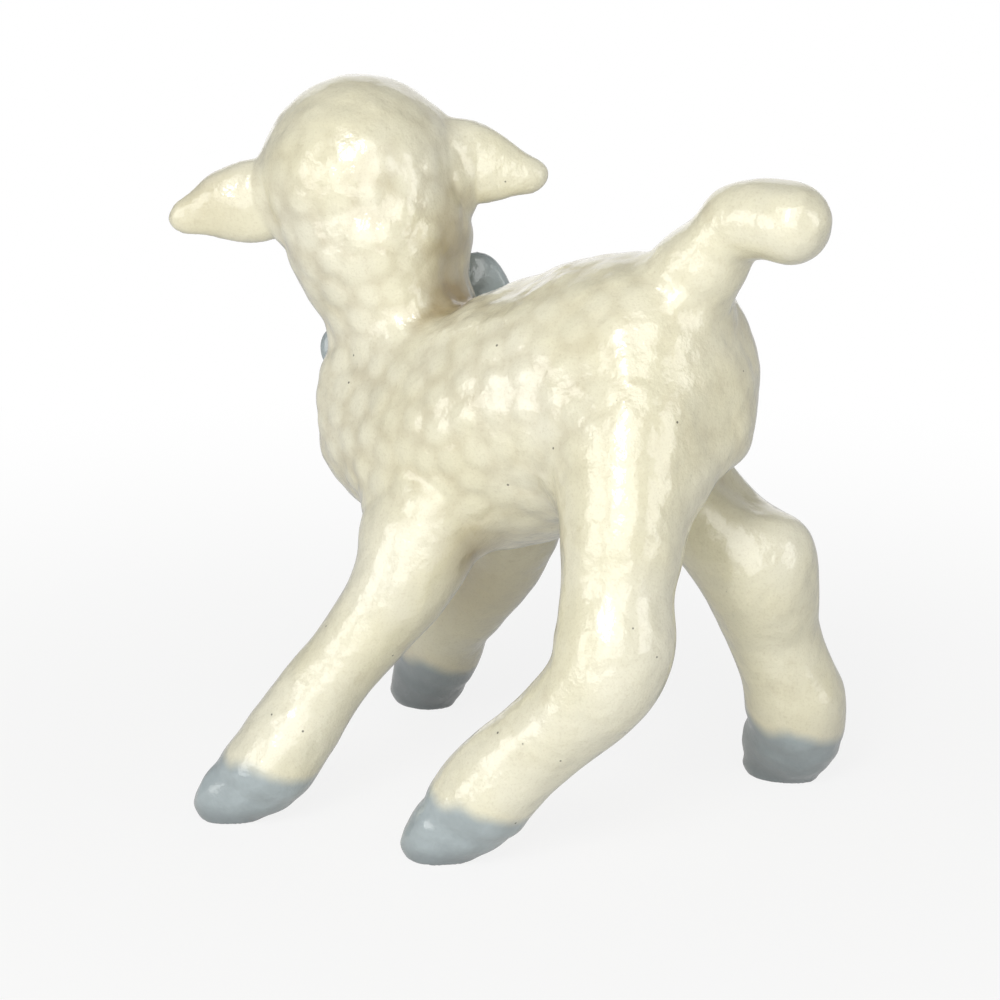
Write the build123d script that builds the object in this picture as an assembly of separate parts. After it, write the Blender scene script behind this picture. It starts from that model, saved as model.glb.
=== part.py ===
from build123d import *
from math import cos, radians, sin
import os

# A lamb figurine of slip-cast, glazed earthenware. Its chest faces -X, its tail +X,
# its left flank -Y. Sizes are of the glazed figure, in millimetres and degrees.

# Body
body_length = 87.0
body_depth = 49.0
body_width = 48.0
body_middle_x = 13.1
body_middle_height = 78.3
body_rise = 18.0
wall = 3.5
vent_radius = 1.5

# Neck
neck_radius = 13.6
neck_lean = 20.4
neck_rise = 43.3

# Head, whose skull has its middle at the top of the neck
skull_radius = 19.0
head_turn = 57.0
head_roll = 12.0
head_nod = 8.0
muzzle_length = 30.0
muzzle_radius = 9.6
air_hole_radius = 3.0

# Ears
left_ear_length = 18.6
right_ear_length = 15.8
ear_height = 15.4
ear_thickness = 8.0
ear_setback = 1.0
left_ear_rise = -1.0
right_ear_rise = -1.6
left_ear_droop = 0.0
right_ear_droop = 25.0

# Tail
tail_reach = 23.4
tail_lift = 17.5
tail_thickness = 14.6
tail_tip = 7.0

# Legs
fore_leg_thickness = 16.0
hind_leg_thickness = 17.4

# Stance: where the middle of each foot stands
front_left_foot = (-29.0, -41.0)
front_right_foot = (-37.5, 36.5)
hind_left_foot = (17.0, -36.5)
hind_right_foot = (47.0, 37.2)
foot_height = 4.8
toe_length = 7.0

# Glaze line of the hooves
hoof_height = 14.0
hoof_line_slope = 27.0

# Bow
bow_turn = 54.0
bow_half_span = 20.0
bow_loop_height = 14.6
bow_loop_thickness = 5.6
bow_tilt = 28.0
knot_width = 7.0
knot_height = 8.4
knot_depth = 7.4
bow_tail_length = 15.0
bow_tail_width = 6.6
bow_tail_thickness = 3.2
bow_tail_splay = 34.0
bow_tail_lean = 30.0

# Joins
overrun = 40.0

# Body sections from chest to rump: place along, lift along the rise, girth
body_shares = (
    (0.12, 0.12, 0.75),
    (0.24, 0.1, 0.89),
    (0.38, 0.18, 0.98),
    (0.52, 0.47, 0.99),
    (0.66, 0.76, 0.98),
    (0.78, 0.96, 0.93),
)
chest_tip_share = 0.12
rump_tip_share = 0.22

# Places in the body: along it from the chest, out to its side, up from its middle
neck_place_shares = (0.28, 0.0, 0.0)
tail_place_shares = (0.84, 0.0, 0.64)
front_left_place_shares = (0.35, -0.54, -0.55)
front_right_place_shares = (0.3, 0.54, -0.52)
hind_left_place_shares = (0.82, -0.54, -0.08)
hind_right_place_shares = (0.66, 0.54, -0.02)

# Neck sections from foot to head: way up, place ahead, girth
neck_shares = (
    (0.0, 0.0, 0.95),
    (0.29, 0.03, 1.03),
    (0.45, 0.045, 1.06),
    (0.65, 0.035, 1.28),
    (0.85, 0.0, 1.3),
)

# Leg sections from body to toe: way to the foot, bend forward, girth
front_left_leg_shares = (
    (0.0, -0.03, 1.42),
    (0.16, -0.05, 1.36),
    (0.31, -0.082, 1.16),
    (0.47, -0.077, 0.98),
    (0.63, -0.062, 0.96),
    (0.78, -0.06, 1.03),
    (0.9, -0.058, 1.08),
    (1.0, 0.01, 0.82),
)
front_right_leg_shares = (
    (0.0, -0.06, 1.25),
    (0.15, -0.12, 1.2),
    (0.29, -0.15, 1.1),
    (0.43, -0.14, 1.0),
    (0.57, -0.095, 0.98),
    (0.72, -0.035, 1.0),
    (0.86, -0.02, 1.06),
    (1.0, -0.005, 0.92),
)
hind_left_leg_shares = (
    (0.0, -0.01, 1.55),
    (0.15, -0.06, 1.45),
    (0.28, -0.115, 1.28),
    (0.4, -0.162, 1.17),
    (0.51, -0.205, 1.27),
    (0.61, -0.207, 1.16),
    (0.71, -0.155, 1.0),
    (0.81, -0.092, 1.0),
    (0.91, -0.045, 1.06),
    (1.0, 0.02, 0.82),
)
hind_right_leg_shares = (
    (0.0, 0.0, 1.3),
    (0.12, 0.0, 1.22),
    (0.24, -0.022, 1.16),
    (0.35, -0.08, 1.2),
    (0.46, -0.134, 1.3),
    (0.56, -0.127, 1.18),
    (0.65, -0.112, 1.02),
    (0.75, -0.108, 1.02),
    (0.84, -0.098, 1.14),
    (0.92, -0.062, 1.08),
    (1.0, 0.0, 0.86),
)

# Tail sections from rump to tip: reach, lift, thickness
tail_shares = (
    (0.0, 0.0, 1.36),
    (0.2, 0.42, 1.2),
    (0.46, 0.88, 1.05),
    (0.74, 1.0, 1.0),
    (1.0, 0.99, 1.04),
)

# Ear sections from root to tip: way out, height, thickness
ear_shares = ((-0.3, 0.9, 1.0), (0.1, 1.0, 0.95), (0.35, 0.9, 0.85), (0.7, 0.6, 0.66))
ear_tip_share = 0.32

# Muzzle sections from skull to nose: way forward, thickness, drop
muzzle_shares = ((0.0, 1.0, 0.0), (0.4, 1.1, 0.1), (0.64, 0.95, 0.2), (0.84, 0.76, 0.27))

# The neck section that carries the bow, and how deep the knot is let into it
bow_section = 1
knot_seat_share = 0.2

# Bow loop sections from knot to tip: way out, height, thickness
loop_shares = ((0.0, 0.4, 0.8), (0.3, 0.62, 1.0), (0.58, 0.96, 1.0), (0.76, 1.0, 0.9))

# Bow tail sections from knot to end: way down, width, thickness
bow_tail_shares = ((0.0, 0.7, 1.0), (0.5, 0.9, 1.0), (1.0, 1.2, 0.9))

# Turns of the sections that round off a tip, from its pole to its base
cap_turns = (60.0, 30.0)

# Turns at which the four arcs of an oval start
quarter_turn = 90.0
quarter_starts = (0.0, 90.0, 180.0, 270.0)

# Sections drawn from one station of a table to the next
sections_per_station = 2


def between(start, end, share):
    """The value or place a share of the way from start to end."""
    return start + (end - start) * share


def eased(before, start, end, after, share):
    """A value between start and end, on a smooth curve that also follows their neighbours."""
    leaving = (end - before) / 2
    arriving = (after - start) / 2
    swing = (end - start) * 3 - leaving * 2 - arriving
    settle = leaving + arriving - (end - start) * 2
    return start + leaving * share + swing * share**2 + settle * share**3


def drawn_through(stations):
    """The stations with more between them, so that a form passes smoothly through all."""
    padded = [stations[0]] + stations + [stations[-1]]
    drawn = []
    for group in zip(padded, padded[1:], padded[2:], padded[3:]):
        for step in range(sections_per_station):
            share = step / sections_per_station
            drawn.append(tuple(eased(*values, share) for values in zip(*group)))
    return drawn + [stations[-1]]


def oval(place, along, side, across, deep):
    """An oval wire of four arcs, square to along; across is its half size towards side."""
    normal = along.normalized()
    level = side - normal * side.dot(normal)
    plane = Plane(origin=place, x_dir=level, z_dir=normal)
    quarters = [
        Edge.make_ellipse(across, deep, plane, start_angle=start, end_angle=start + quarter_turn)
        for start in quarter_starts
    ]
    return Wire(quarters)


def tip_sections(station, outward, along, side, tip):
    """The pole and the ovals that round off the end at a station, from the pole inwards."""
    place, across, deep = station
    sections = [Vertex(*(place + outward * tip))]
    for turn in cap_turns:
        narrowing = cos(radians(turn))
        centre = place + outward * (tip * sin(radians(turn)))
        sections.append(oval(centre, along, side, across * narrowing, deep * narrowing))
    return sections


def rounded_form(stations, side, first_tip, last_tip):
    """A closed form through ovals, rounded off beyond each end.

    A station is a place, a half size towards side and a half size the other way.
    """
    drawn = drawn_through(stations)
    places = [station[0] for station in drawn]
    leaving = (places[1] - places[0]).normalized()
    arriving = (places[-1] - places[-2]).normalized()
    sections = tip_sections(drawn[0], leaving * -1, leaving, side, first_tip)
    for index, (place, across, deep) in enumerate(drawn):
        before = places[max(index - 1, 0)]
        after = places[min(index + 1, len(places) - 1)]
        sections.append(oval(place, after - before, side, across, deep))
    sections += reversed(tip_sections(drawn[-1], arriving, arriving, side, last_tip))
    return Solid.make_loft(sections)


def body_place(along, out, up):
    """A place in the body by its shares of the body's length, half width and half depth."""
    height = body_middle_height + body_rise * (along - 0.5) + body_depth / 2 * up
    return Vector(body_middle_x + body_length * (along - 0.5), body_width / 2 * out, height)


def body_form(inset):
    """The barrel of the body, drawn in by inset."""
    stations = []
    for along, lift, girth in body_shares:
        height = body_middle_height + body_rise * (lift - 0.5)
        place = Vector(body_middle_x + body_length * (along - 0.5), 0, height)
        across = body_width / 2 * girth - inset
        deep = body_depth / 2 * girth - inset
        stations.append((place, across, deep))
    chest_tip = body_length * chest_tip_share - inset
    rump_tip = body_length * rump_tip_share - inset
    return rounded_form(stations, Vector(0, 1, 0), chest_tip, rump_tip)


def neck_stations(inset):
    """The sections of the neck from inside the chest to inside the head."""
    stations = []
    for up, ahead, girth in neck_shares:
        place = between(neck_foot, neck_top, up) - Vector(neck_reach * ahead, 0, 0)
        radius = neck_radius * girth - inset
        stations.append((place, radius, radius))
    return stations


def neck_form(inset):
    """The neck, drawn in by inset."""
    stations = neck_stations(inset)
    return rounded_form(stations, Vector(0, 1, 0), stations[0][1], stations[-1][1])


def head_location():
    """Where the skull's middle is, and how the head is turned away."""
    turned = Pos(*neck_top) * Rot(0, 0, -head_turn)
    return turned * Rot(head_roll, 0, 0) * Rot(0, -head_nod, 0)


def head_form(inset):
    """Skull and muzzle, drawn in by inset; the face looks along -X before the turn."""
    skull = Rot(0, -quarter_turn, 0) * Sphere(skull_radius - inset)
    stations = []
    for forward, thickness, drop in muzzle_shares:
        place = Vector(-muzzle_length * forward, 0, -muzzle_length * drop)
        half = muzzle_radius * thickness - inset
        stations.append((place, half, half))
    nose_tip = muzzle_radius * muzzle_shares[-1][1] - inset
    muzzle = rounded_form(stations, Vector(0, 1, 0), nose_tip, nose_tip)
    return head_location() * (skull + muzzle)


def ear_form(hand, length, rise, droop):
    """An ear on the lamb's left (hand -1) or right (hand 1), in the turned head."""
    root = Vector(ear_setback, hand * skull_radius, rise)
    tip = root + Vector(0, hand * length, -length * sin(radians(droop)))
    stations = []
    for out, height, thickness in ear_shares:
        place = between(root, tip, out)
        stations.append((place, ear_thickness / 2 * thickness, ear_height / 2 * height))
    ear_tip = length * ear_tip_share
    return head_location() * rounded_form(stations, Vector(1, 0, 0), ear_tip, ear_tip)


def tail_form():
    """The upturned tail, from inside the rump to its round end."""
    root = body_place(*tail_place_shares)
    stations = []
    for reach, lift, thickness in tail_shares:
        place = root + Vector(tail_reach * reach, 0, tail_lift * lift)
        half = tail_thickness / 2 * thickness
        stations.append((place, half, half))
    return rounded_form(stations, Vector(0, 1, 0), tail_tip, tail_tip)


def limb_form(place_shares, foot, shares, thickness):
    """A whole leg with its hoof, standing on a flat sole."""
    root = body_place(*place_shares)
    end = Vector(foot[0], foot[1], foot_height)
    stations = []
    for way, bend, girth in shares:
        place = between(root, end, way) - Vector(root.Z * bend, 0, 0)
        stations.append((place, thickness / 2 * girth, thickness / 2 * girth))
    limb = rounded_form(stations, Vector(0, 1, 0), thickness / 2, toe_length)
    ground = Pos(foot[0], foot[1], 0) * Box(
        overrun * 2, overrun * 2, overrun, align=(Align.CENTER, Align.CENTER, Align.MAX)
    )
    return limb - ground


def below_glaze_line(foot):
    """The space under a hoof's glaze line, which rises towards the toe."""
    block = Box(overrun * 2, overrun * 2, overrun, align=(Align.CENTER, Align.CENTER, Align.MAX))
    return Pos(foot[0], foot[1], hoof_height) * Rot(0, hoof_line_slope, 0) * block


def bow_location():
    """The middle of the bow, whose knot is let into the throat."""
    middle, radius, _ = neck_stations(0)[bow_section]
    forward = radius + knot_depth * (0.5 - knot_seat_share)
    turned = Pos(*middle) * Rot(0, 0, -bow_turn) * Pos(-forward, 0, 0)
    return turned * Rot(bow_tilt, 0, 0)


def knot_form():
    """The knot in the middle of the bow."""
    shares = (knot_depth / knot_width, 1, knot_height / knot_width)
    return bow_location() * scale(Sphere(knot_width / 2), by=shares)


def loop_form(hand):
    """One loop of the bow, on the lamb's left (hand -1) or right (hand 1)."""
    stations = []
    for out, height, thickness in loop_shares:
        place = Vector(0, hand * bow_half_span * out, 0)
        half_thickness = bow_loop_thickness / 2 * thickness
        stations.append((place, half_thickness, bow_loop_height / 2 * height))
    tip = bow_half_span * (1 - loop_shares[-1][0])
    return bow_location() * rounded_form(stations, Vector(1, 0, 0), bow_loop_thickness / 2, tip)


def bow_tail_form(hand):
    """One hanging end of the bow, splayed to the lamb's left or right."""
    stations = []
    for down, width, thickness in bow_tail_shares:
        place = Vector(0, 0, -bow_tail_length * down)
        stations.append((place, bow_tail_width / 2 * width, bow_tail_thickness / 2 * thickness))
    tip = bow_tail_thickness / 2
    strap = rounded_form(stations, Vector(0, 1, 0), tip, tip)
    upright = bow_location() * Rot(-bow_tilt, 0, 0) * Rot(0, bow_tail_lean, 0)
    return upright * Rot(hand * bow_tail_splay, 0, 0) * strap


def make_torso():
    """The hollow body and neck, open only at the vent and where the head's air hole is."""
    outside = body_form(0) + neck_form(0)
    inside = body_form(wall) + neck_form(wall)
    vent = Pos(body_middle_x, 0, body_middle_height) * Cylinder(
        vent_radius, body_depth, align=(Align.CENTER, Align.CENTER, Align.MAX)
    )
    return outside - inside - vent - head_form(0)


def make_head():
    """The hollow head, with an air hole into the neck."""
    bore = Plane(origin=neck_top, z_dir=neck_foot - neck_top) * Cylinder(
        air_hole_radius, overrun, align=(Align.CENTER, Align.CENTER, Align.MIN)
    )
    return head_form(0) - head_form(wall) - bore


neck_foot = body_place(*neck_place_shares)
neck_top = neck_foot + Vector(-neck_lean, 0, neck_rise)
neck_reach = (neck_top - neck_foot).length

torso_skin = body_form(0) + neck_form(0)
skin = torso_skin + head_form(0)

parts = {
    "torso": make_torso(),
    "head": make_head(),
    "left_ear": ear_form(-1, left_ear_length, left_ear_rise, left_ear_droop) - skin,
    "right_ear": ear_form(1, right_ear_length, right_ear_rise, right_ear_droop) - skin,
    "tail": tail_form() - torso_skin,
}

front_left = (front_left_place_shares, front_left_foot, front_left_leg_shares)
front_right = (front_right_place_shares, front_right_foot, front_right_leg_shares)
hind_left = (hind_left_place_shares, hind_left_foot, hind_left_leg_shares)
hind_right = (hind_right_place_shares, hind_right_foot, hind_right_leg_shares)
limbs = {
    "front_left": limb_form(*front_left, fore_leg_thickness),
    "front_right": limb_form(*front_right, fore_leg_thickness),
    "hind_left": limb_form(*hind_left, hind_leg_thickness),
    "hind_right": limb_form(*hind_right, hind_leg_thickness),
}
hoof_spaces = {
    "front_left": below_glaze_line(front_left_foot),
    "front_right": below_glaze_line(front_right_foot),
    "hind_left": below_glaze_line(hind_left_foot),
    "hind_right": below_glaze_line(hind_right_foot),
}
for name, limb in limbs.items():
    leg = limb - torso_skin
    parts[name + "_leg"] = leg - hoof_spaces[name]
    parts[name + "_hoof"] = leg & hoof_spaces[name]

bow = {"bow_knot": knot_form()}
for side_name, hand in (("left", -1), ("right", 1)):
    bow["bow_" + side_name + "_loop"] = loop_form(hand)
    bow["bow_" + side_name + "_tail"] = bow_tail_form(hand)
for name, shape in bow.items():
    shape = shape - torso_skin
    for fitted in [part for part_name, part in parts.items() if part_name in bow]:
        shape = shape - fitted
    parts[name] = shape

whole = Compound(children=[Compound(list(part.solids())) for part in parts.values()])
bounds = whole.bounding_box()
to_origin = Pos(-bounds.center().X, -bounds.center().Y, 0)

os.makedirs("parts", exist_ok=True)
for name, part in parts.items():
    solids = part.solids()
    print(name, len(solids), [round(solid.volume, 1) for solid in solids])
    export_step(to_origin * part, "parts/" + name + ".step")
print("origin moved by", to_origin.position)
print("size", bounds.size)
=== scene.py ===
import math
import random

import bmesh
import bpy
import numpy as np
from bpy.props import FloatProperty, FloatVectorProperty, IntProperty, PointerProperty
from mathutils import Matrix, Vector, noise
from mathutils.bvhtree import BVHTree
from mathutils.kdtree import KDTree


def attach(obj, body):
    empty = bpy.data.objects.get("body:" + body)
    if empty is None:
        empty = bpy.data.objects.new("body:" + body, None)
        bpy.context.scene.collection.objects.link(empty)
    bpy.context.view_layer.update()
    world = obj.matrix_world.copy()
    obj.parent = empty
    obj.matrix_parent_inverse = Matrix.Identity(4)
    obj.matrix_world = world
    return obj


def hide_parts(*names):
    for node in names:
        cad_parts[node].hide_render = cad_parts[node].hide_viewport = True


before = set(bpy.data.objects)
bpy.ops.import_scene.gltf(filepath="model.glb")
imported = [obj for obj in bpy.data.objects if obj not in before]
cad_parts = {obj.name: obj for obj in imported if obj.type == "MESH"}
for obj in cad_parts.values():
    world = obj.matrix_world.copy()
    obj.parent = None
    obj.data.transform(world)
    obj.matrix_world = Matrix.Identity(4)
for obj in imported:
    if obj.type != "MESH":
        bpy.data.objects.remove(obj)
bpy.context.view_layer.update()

bl_info = {
    "name": "Glazed Lamb Figurine",
    "version": (1, 0, 0),
    "blender": (4, 5, 0),
    "location": "View3D > Sidebar > Lamb",
    "description": "Dresses a slip-cast lamb in pebbled wool, glaze, painted hooves and a bow",
    "category": "Object",
}

MM = 0.001

# The casting's own pieces, each with the width of the slip that fills its join
TORSO = "torso"
JOIN_WIDTH_MM = {
    "torso": 99.0,
    "head": 8.0,
    "left_ear": 7.5,
    "right_ear": 7.5,
    "tail": 10.0,
    "front_left_leg": 11.0,
    "front_right_leg": 9.0,
    "hind_left_leg": 20.0,
    "hind_right_leg": 12.0,
}
HOOVES = ("front_left_hoof", "front_right_hoof", "hind_left_hoof", "hind_right_hoof")
SKIN_NODES = tuple(JOIN_WIDTH_MM) + HOOVES
BOW_NODES = ("bow_knot", "bow_left_loop", "bow_right_loop", "bow_left_tail", "bow_right_tail")

# Where the head is and how it is turned, as the casting has it
HEAD_MIDDLE_MM = (-34.65, 1.51, 117.64)
HEAD_TURNS = ((-57.0, "Z"), (12.0, "X"), (-8.0, "Y"))
SKULL_RADIUS_MM = 19.0

# Where the bow is and how it is turned; its front looks along its own -X
BOW_MIDDLE_MM = (-31.14, 14.64, 86.9)
BOW_TURNS = ((-54.0, "Z"), (28.0, "X"))
BOW_TAIL_TURNS = ((-54.0, "Z"), (30.0, "Y"))
BOW_TAIL_SPLAY = 34.0
BOW_HALF_SPAN_MM = 20.0
BOW_LOOP_HALF_HEIGHT_MM = 7.3


def turned(turns):
    """A rotation made of turns about the axes, one after another."""
    turn = Matrix.Identity(3)
    for degrees, axis in turns:
        turn = turn @ Matrix.Rotation(math.radians(degrees), 3, axis)
    return np.array(turn)


def local_places(places, middle_mm, turns):
    """Places in millimetres in a piece's own axes, from its middle."""
    return (places / MM - np.array(middle_mm)) @ turned(turns)


class LambForm(bpy.types.PropertyGroup):
    """Sizes of the modelled skin."""

    voxel: FloatProperty(
        name="Clay grain", description="Size of the cells that the clay is joined in",
        default=0.65 * MM, min=0.3 * MM, subtype="DISTANCE", unit="LENGTH", precision=5,
    )
    join_rounds: IntProperty(
        name="Sponging", description="Rounds of sponging along the joins", default=600, min=0,
    )
    pebble: FloatProperty(
        name="Pebble", description="Distance from one pebble of wool to the next",
        default=6.4 * MM, min=2 * MM, subtype="DISTANCE", unit="LENGTH", precision=5,
    )
    relief: FloatProperty(
        name="Wool relief", description="Depth of the valleys between the pebbles",
        default=0.27 * MM, min=0.0, subtype="DISTANCE", unit="LENGTH", precision=5,
    )
    seed: IntProperty(name="Seed", description="Start of the scatter of the pebbles", default=7)


class LambGlaze(bpy.types.PropertyGroup):
    """Colours of the glaze."""

    cream: FloatVectorProperty(
        name="Cream", description="Body glaze", default=(0.79, 0.75, 0.56),
        subtype="COLOR", min=0, max=1,
    )
    # Painted shade: this dark colour also fills hollows, creases and shaded places, besides real
    # specks, stains and glaze collecting between pebbles
    pooled_and_shaded: FloatVectorProperty(
        name="Pooled", description="Body glaze where it pools", default=(0.36, 0.275, 0.135),
        subtype="COLOR", min=0, max=1,
    )
    # Painted highlight: this pale colour also lightens every ridge and bulge, besides clouds where
    # the glaze thins
    thin_and_lit: FloatVectorProperty(
        name="Thin", description="Body glaze where it runs thin", default=(0.88, 0.86, 0.76),
        subtype="COLOR", min=0, max=1,
    )
    blue: FloatVectorProperty(
        name="Grey-blue", description="Colour of hooves and bow", default=(0.35, 0.40, 0.42),
        subtype="COLOR", min=0, max=1,
    )
    rose: FloatVectorProperty(
        name="Rose", description="Blush of nose and ears", default=(0.55, 0.30, 0.24),
        subtype="COLOR", min=0, max=1,
    )
    gloss: FloatProperty(
        name="Glaze roughness", description="How soft the glaze's reflections are",
        default=0.11, min=0.0, max=1.0,
    )


class LambStage(bpy.types.PropertyGroup):
    """Camera and light."""

    azimuth: FloatProperty(
        name="Azimuth", description="Camera's turn from the left flank towards the tail",
        default=math.radians(33.0), subtype="ANGLE", unit="ROTATION",
    )
    elevation: FloatProperty(
        name="Elevation", description="Camera's height over the horizon",
        default=math.radians(15.0), subtype="ANGLE", unit="ROTATION",
    )
    distance: FloatProperty(
        name="Distance", description="From the camera to the lamb",
        default=0.65, min=0.1, subtype="DISTANCE", unit="LENGTH",
    )
    field: FloatProperty(
        name="Field of view", description="Across the square picture",
        default=2 * math.atan(0.5 * 0.19 / 0.65), subtype="ANGLE", unit="ROTATION",
    )
    aim: FloatVectorProperty(
        name="Aim", description="What the camera looks at",
        default=(-3.21 * MM, 1.51 * MM, 58.0 * MM), subtype="TRANSLATION", precision=5,
    )


# Shader maths


class Wire:
    """A node's output that takes part in plain Python expressions."""

    def __init__(self, tree, socket):
        self.tree = tree
        self.socket = socket

    def maths(self, operation, *values, clamp=False):
        return self.tree.add(
            "ShaderNodeMath", {"operation": operation, "use_clamp": clamp}, (self, *values)
        )

    def __add__(self, other):
        return self.maths("ADD", other)

    __radd__ = __add__

    def __sub__(self, other):
        return self.maths("SUBTRACT", other)

    def __rsub__(self, other):
        return self.tree.add("ShaderNodeMath", {"operation": "SUBTRACT"}, (other, self))

    def __mul__(self, other):
        return self.maths("MULTIPLY", other)

    __rmul__ = __mul__

    def clamped(self):
        return self.maths("ADD", 0.0, clamp=True)


class Tree:
    """A material's nodes."""

    def __init__(self, material):
        material.use_nodes = True
        self.nodes = material.node_tree.nodes
        self.links = material.node_tree.links
        self.nodes.clear()

    def node(self, kind, settings, values):
        """A node with its settings, and its sockets' values or links from a dict or a row."""
        made = self.nodes.new(kind)
        for name, value in settings.items():
            if name == "stops":
                ramp = made.color_ramp
                while len(ramp.elements) < len(value):
                    ramp.elements.new(0.5)
                for element, (place, colour) in zip(ramp.elements, value):
                    element.position = place
                    element.color = (*colour, 1.0)
            else:
                setattr(made, name, value)
        pairs = values.items() if isinstance(values, dict) else enumerate(values)
        for key, value in pairs:
            socket = made.inputs[key]
            if isinstance(value, Wire):
                self.links.new(value.socket, socket)
            elif hasattr(socket.default_value, "__len__") and len(socket.default_value) == 4:
                socket.default_value = (*value, 1.0)
            else:
                socket.default_value = value
        return made

    def add(self, kind, settings, values, output=0):
        return Wire(self, self.node(kind, settings, values).outputs[output])

    def mix(self, share, low, high, blend="MIX"):
        """Two colours mixed by a share."""
        settings = {"data_type": "RGBA", "blend_type": blend, "clamp_factor": True}
        return self.add("ShaderNodeMix", settings, {0: share, 6: low, 7: high}, output=2)

    def attribute(self, name):
        """A number stored on the piece's points."""
        settings = {"attribute_type": "GEOMETRY", "attribute_name": name}
        return self.add("ShaderNodeAttribute", settings, {}, output=2)

    def place(self):
        return self.add("ShaderNodeTexCoord", {}, {}, output=3)

    def noise(self, place, size, detail=2.0, roughness=0.5):
        """Soft noise whose lumps are about size across."""
        values = {"Vector": place, "Scale": 1 / size, "Detail": detail, "Roughness": roughness}
        return self.add("ShaderNodeTexNoise", {}, values)

    def ramp(self, value, low, high):
        """A number eased from 0 at low to 1 at high."""
        settings = {"interpolation_type": "SMOOTHSTEP"}
        values = {"Value": value, "From Min": low, "From Max": high}
        return self.add("ShaderNodeMapRange", settings, values)


# Mesh helpers


def points_of(mesh):
    """The places of a mesh's points."""
    places = np.empty(len(mesh.vertices) * 3, np.float32)
    mesh.vertices.foreach_get("co", places)
    return places.reshape(-1, 3).astype(float)


def normals_of(mesh):
    """The outward directions at a mesh's points."""
    normals = np.empty(len(mesh.vertices) * 3, np.float32)
    mesh.vertex_normals.foreach_get("vector", normals)
    return normals.reshape(-1, 3).astype(float)


def set_points(mesh, places):
    mesh.vertices.foreach_set("co", places.astype(np.float32).ravel())
    mesh.update()


def edges_of(mesh):
    pairs = np.empty(len(mesh.edges) * 2, np.int32)
    mesh.edges.foreach_get("vertices", pairs)
    return pairs.reshape(-1, 2)


def eased(values, low=0.0, high=1.0):
    """0 below low, 1 above high, and a smooth step between."""
    share = np.clip((values - low) / (high - low), 0.0, 1.0)
    return share * share * (3.0 - 2.0 * share)


def sponged(values, pairs, weight, rounds):
    """Values drawn towards their neighbours' mean where weight allows, as by a damp sponge."""
    count = len(values)
    busy = weight > 0.001
    use = pairs[busy[pairs[:, 0]] | busy[pairs[:, 1]]]
    start = np.concatenate((use[:, 0], use[:, 1]))
    end = np.concatenate((use[:, 1], use[:, 0]))
    degree = np.maximum(np.bincount(start, minlength=count), 1)
    flat = values.ndim == 1
    work = values.reshape(count, -1).copy()
    pull = (0.5 * weight * busy)[:, None]
    for _ in range(rounds):
        mean = np.stack(
            [np.bincount(start, weights=work[end, axis], minlength=count) / degree
             for axis in range(work.shape[1])], axis=1)
        work += pull * (mean - work)
    return work[:, 0] if flat else work


def lumps(places, size, seed):
    """Soft lumps about size across, from -1 to 1, at each place."""
    shift = Vector((seed, seed, seed))
    return np.array([noise.noise(Vector(place) / size + shift) for place in places])


def store(mesh, name, values):
    """Keeps a number at each point of a mesh."""
    layer = mesh.attributes.get(name) or mesh.attributes.new(name, "FLOAT", "POINT")
    layer.data.foreach_set("value", values.astype(np.float32))


def stored(mesh, name):
    values = np.empty(len(mesh.vertices), np.float32)
    mesh.attributes[name].data.foreach_get("value", values)
    return values.astype(float)


def new_object(name, mesh):
    piece = bpy.data.objects.new(name, mesh)
    bpy.context.scene.collection.objects.link(piece)
    return piece


def merged_copy(node):
    """A copy of a CAD node's triangles with their shared corners merged."""
    shape = bmesh.new()
    shape.from_mesh(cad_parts[node].data)
    bmesh.ops.remove_doubles(shape, verts=shape.verts, dist=1e-6)
    return shape


def surface_tree(node):
    """A search tree of a CAD node's surface."""
    shape = merged_copy(node)
    tree = BVHTree.FromBMesh(shape)
    shape.free()
    return tree


def distances(tree, places, limit):
    """How far each place is from a surface, up to limit."""
    result = np.full(len(places), limit)
    for index, place in enumerate(places):
        found = tree.find_nearest(place, limit)
        if found[3] is not None:
            result[index] = found[3]
    return result


# The clay: one skin over all the casting's pieces, with slip in the joins


CLAY = "clay"
VENT_PLACE_MM = (4.89, 1.51)
VENT_PLUG_MM = (53.6, 57.5)
VENT_RIM_MM = (0.9, 1.8)
VENT_DEPTH_MM = 4.5
REACH = 24 * MM


def working_mesh():
    """The clay that the operators shape in turn."""
    return bpy.data.objects[CLAY].data


def applied(piece):
    """A piece's mesh with its modifiers applied."""
    graph = bpy.context.evaluated_depsgraph_get()
    graph.update()
    return bpy.data.meshes.new_from_object(piece.evaluated_get(graph))


def outer_shell(mesh):
    """Keeps only the shell that holds the mesh's highest point, and drops inner hollows."""
    shape = bmesh.new()
    shape.from_mesh(mesh)
    top = max(shape.verts, key=lambda point: point.co.z)
    outside = {top}
    front = [top]
    while front:
        point = front.pop()
        for edge in point.link_edges:
            other = edge.other_vert(point)
            if other not in outside:
                outside.add(other)
                front.append(other)
    inner = [point for point in shape.verts if point not in outside]
    bmesh.ops.delete(shape, geom=inner, context="VERTS")
    shape.to_mesh(mesh)
    shape.free()


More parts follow.
